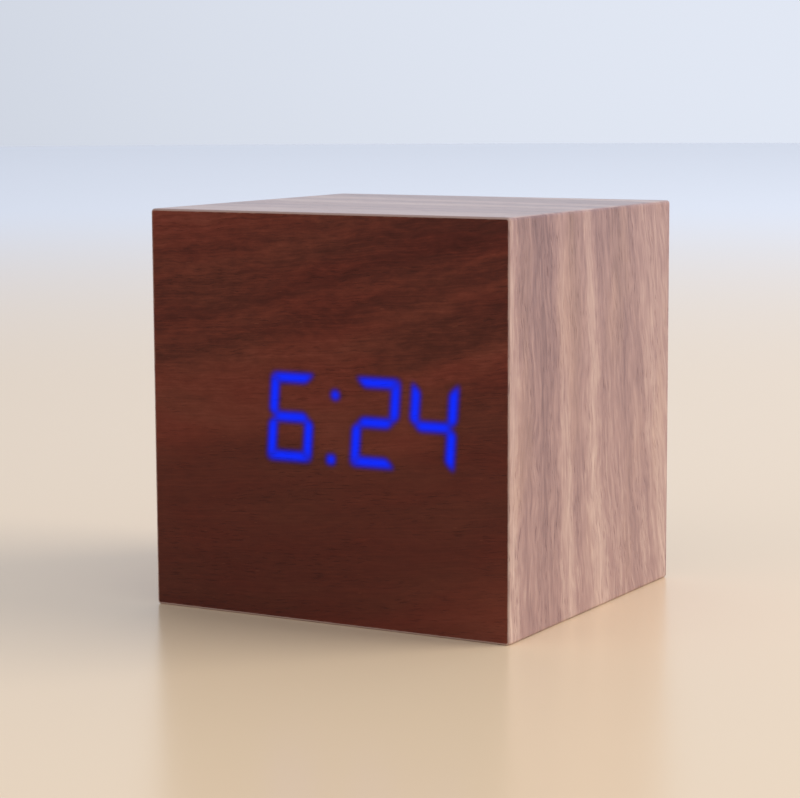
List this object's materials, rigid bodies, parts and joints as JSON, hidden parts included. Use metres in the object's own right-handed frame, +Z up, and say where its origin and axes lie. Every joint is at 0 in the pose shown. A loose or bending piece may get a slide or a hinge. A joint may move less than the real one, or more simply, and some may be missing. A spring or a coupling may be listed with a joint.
{
  "type": "wooden cube alarm clock",
  "caption": "Cube-shaped alarm clock: veneered wooden box whose front veneer hides a blue segment display, with rear push buttons, power inlet and a battery bay underneath.",
  "frame": {"origin": "centre of the underside, on the surface that the clock stands on", "axes": "+Z up; the display faces -Y; the buttons and power inlet face +Y; +X is to the right seen from the front"},
  "size_m": [0.062, 0.057, 0.062],
  "materials": {
    "front_wood": "dark red-brown veneer, satin lacquer",
    "side_wood": "pale pinkish-brown veneer, satin lacquer",
    "fibreboard": "raw medium density fibreboard",
    "softwood": "sawn pine",
    "cover_plastic": "fine textured black",
    "button_plastic": "smooth dark grey",
    "bay_plastic": "fine textured black",
    "dark_screw": "black zinc plating",
    "display_plastic": "black",
    "light_guide": "milky diffusing",
    "circuit_board": "green solder mask",
    "component_black": "moulded black",
    "capacitor_sleeve": "shrunk sleeve",
    "bright_metal": "bright nickel",
    "spring_steel": "nickel-plated spring steel",
    "header_plastic": "natural nylon",
    "plunger_plastic": "white acetal",
    "ribbon_sleeve": "grey flat cable",
    "cell_sleeve": "plain printed sleeve",
    "red_wire": "insulated wire",
    "black_wire": "insulated wire"
  },
  "bodies": {
    "case": {"front_veneer": "front_wood", "top_veneer": "side_wood", "right_veneer": "side_wood", "bottom_veneer": "side_wood", "left_veneer": "side_wood", "rear_edge_veneer": "side_wood", "top_panel": "fibreboard", "right_panel": "fibreboard", "bottom_panel": "fibreboard", "left_panel": "fibreboard", "front_panel": "fibreboard", "screw_block_upper_left": "softwood", "screw_block_upper_right": "softwood", "screw_block_lower_left": "softwood", "screw_block_lower_right": "softwood", "rear_cover": "cover_plastic", "battery_tray": "bay_plastic", "cover_screw_upper_left": "dark_screw", "cover_screw_upper_right": "dark_screw", "cover_screw_lower_left": "dark_screw", "cover_screw_lower_right": "dark_screw", "main_board_screw_left": "dark_screw", "main_board_screw_right": "dark_screw", "rear_board_screw_upper": "dark_screw", "rear_board_screw_lower": "dark_screw", "display_housing": "display_plastic", "light_guide": "light_guide", "main_board": "circuit_board", "rear_board": "circuit_board", "clock_chip": "component_black", "coin_cell_holder": "component_black", "set_switch": "component_black", "up_switch": "component_black", "down_switch": "component_black", "buzzer": "component_black", "power_jack": "component_black", "capacitor": "capacitor_sleeve", "crystal": "bright_metal", "coin_cell": "bright_metal", "jack_pin": "bright_metal", "negative_contact": "spring_steel", "bridge_contact_left": "spring_steel", "bridge_contact_right": "spring_steel", "positive_contact": "spring_steel", "main_header": "header_plastic", "rear_header": "header_plastic", "ribbon_cable": "ribbon_sleeve", "battery_cell_1": "cell_sleeve", "battery_cell_2": "cell_sleeve", "battery_cell_3": "cell_sleeve", "battery_lead_red": "red_wire", "battery_lead_black": "black_wire"},
    "set_button": {"set_button": "button_plastic", "set_plunger": "plunger_plastic"},
    "up_button": {"up_button": "button_plastic", "up_plunger": "plunger_plastic"},
    "down_button": {"down_button": "button_plastic", "down_plunger": "plunger_plastic"},
    "battery_door": {"battery_door": "bay_plastic"}
  },
  "joints": [
    {"name": "set_button_press", "type": "slide", "parent": "case", "child": "set_button", "axis": [0, -1, 0], "range_m": [0, 0.0005], "stiffness_N_per_m": 3000},
    {"name": "up_button_press", "type": "slide", "parent": "case", "child": "up_button", "axis": [0, -1, 0], "range_m": [0, 0.0005], "stiffness_N_per_m": 3000},
    {"name": "down_button_press", "type": "slide", "parent": "case", "child": "down_button", "axis": [0, -1, 0], "range_m": [0, 0.0005], "stiffness_N_per_m": 3000},
    {"name": "battery_door_hinge", "type": "hinge", "parent": "case", "child": "battery_door", "pos_m": [0, -0.0136, 0.0016], "axis": [-1, 0, 0], "range_deg": [0, 90]}
  ]
}
